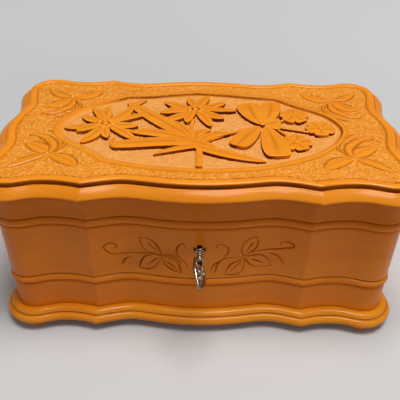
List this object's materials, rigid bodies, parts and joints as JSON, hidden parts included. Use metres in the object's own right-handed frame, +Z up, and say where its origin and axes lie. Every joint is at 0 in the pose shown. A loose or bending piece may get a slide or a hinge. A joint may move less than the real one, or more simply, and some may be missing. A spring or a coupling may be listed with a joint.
{
  "type": "music box",
  "caption": "Carved serpentine wooden music and jewellery box with a hinged overhanging lid, front lock with key, and a pinned cylinder movement inside.",
  "frame": {"origin": "on the floor, under the centre of the bounding box of the closed box with its key", "axes": "+X along the length to the right, -Y towards the front with the keyhole, +Z up"},
  "size_m": [0.2474, 0.1668, 0.1083],
  "materials": {
    "honey_wood": "honey stain under satin lacquer, darker in the grooves",
    "pale_wood": "bare spruce",
    "velvet": "short pile velvet",
    "brass": "satin",
    "steel": "polished",
    "cast_iron": "fine cast, nickelled",
    "old_nickel": "antique nickel, dark in the hollows",
    "mirror_glass": "silvered",
    "clear_pane": "clear, polished"
  },
  "bodies": {
    "case": {"base_board": "honey_wood", "foot_front_left": "honey_wood", "foot_back_left": "honey_wood", "foot_front_right": "honey_wood", "foot_back_right": "honey_wood", "front_wall": "honey_wood", "back_wall": "honey_wood", "right_wall": "honey_wood", "left_wall": "honey_wood", "floor_cleat_front": "pale_wood", "floor_cleat_back": "pale_wood", "sounding_board": "pale_wood", "bay_divider": "honey_wood", "pane_ledge_front": "honey_wood", "pane_ledge_back": "honey_wood", "cover_pane": "clear_pane", "velvet_lining": "velvet", "ring_shelf": "velvet", "ring_roll_1": "velvet", "ring_roll_2": "velvet", "ring_roll_3": "velvet", "ring_roll_4": "velvet", "hinge_case_leaf_left": "brass", "hinge_case_leaf_right": "brass", "hinge_pin_left": "steel", "hinge_pin_right": "steel", "lock_case": "steel", "bedplate": "cast_iron", "barrel_bridge": "brass", "cylinder_bracket_front": "brass", "cylinder_bracket_back": "brass", "comb": "steel", "comb_bed": "cast_iron", "comb_screw_1": "steel", "comb_screw_2": "steel", "comb_screw_3": "steel", "governor_frame": "brass"},
    "lid": {"lid_front_rail": "honey_wood", "lid_back_rail": "honey_wood", "lid_right_rail": "honey_wood", "lid_left_rail": "honey_wood", "lid_top": "honey_wood", "mirror_surround": "honey_wood", "lid_mirror": "mirror_glass", "lock_strike": "brass", "hinge_lid_leaf_left": "brass", "hinge_lid_leaf_right": "brass"},
    "plug": {"lock_plug": "brass"},
    "bolt": {"lock_bolt": "brass"},
    "key": {"lock_key": "old_nickel"},
    "barrel": {"spring_barrel": "brass"},
    "winder": {"winding_arbor": "steel", "winding_key": "steel"},
    "cylinder": {"cylinder_arbor": "steel", "pinned_cylinder": "brass", "cylinder_wheel": "brass"},
    "governor": {"governor_wheel": "brass"},
    "fly": {"endless_screw": "steel", "air_brake_fly": "brass"},
    "stop": {"stop_rod": "steel"}
  },
  "joints": [
    {"name": "lid_hinge", "type": "hinge", "parent": "case", "child": "lid", "pos_m": [0, 0.07775, 0.08185], "axis": [-1, 0, 0], "range_deg": [0, 100]},
    {"name": "lock_turn", "type": "hinge", "parent": "case", "child": "plug", "pos_m": [0, -0.047, 0.0619], "axis": [0, -1, 0], "range_deg": [0, 90]},
    {"name": "bolt_slide", "type": "slide", "parent": "case", "child": "bolt", "axis": [-1, 0, 0], "range_m": [0, 0.0035]},
    {"name": "key_slide", "type": "slide", "parent": "plug", "child": "key", "axis": [0, -1, 0], "range_m": [0, 0.015]},
    {"name": "barrel_turn", "type": "hinge", "parent": "case", "child": "barrel", "pos_m": [0.0675, -0.01625, 0.033], "axis": [0, 0, 1], "continuous": true},
    {"name": "cylinder_turn", "type": "hinge", "parent": "case", "child": "cylinder", "pos_m": [0.0675, 0.01675, 0.0425], "axis": [0, 1, 0], "continuous": true},
    {"name": "governor_turn", "type": "hinge", "parent": "case", "child": "governor", "pos_m": [0.05625, 0.03875, 0.0425], "axis": [0, 1, 0], "continuous": true},
    {"name": "fly_turn", "type": "hinge", "parent": "case", "child": "fly", "pos_m": [0.06375, 0.04135, 0.0425], "axis": [0, 0, 1], "continuous": true},
    {"name": "winding_turn", "type": "hinge", "parent": "case", "child": "winder", "pos_m": [0.0675, -0.01625, 0.015], "axis": [0, 0, 1], "continuous": true},
    {"name": "stop_slide", "type": "slide", "parent": "case", "child": "stop", "axis": [0, 0, 1], "range_m": [0, 0.003]}
  ],
  "couplings": [
    {"joint": "lock_turn", "follows": "bolt_slide", "rad_per_m": 448.79},
    {"joint": "stop_slide", "follows": "lid_hinge", "m_per_rad": 0.001718},
    {"joint": "cylinder_turn", "follows": "barrel_turn", "ratio": 3},
    {"joint": "governor_turn", "follows": "barrel_turn", "ratio": -12},
    {"joint": "fly_turn", "follows": "barrel_turn", "ratio": -288}
  ]
}
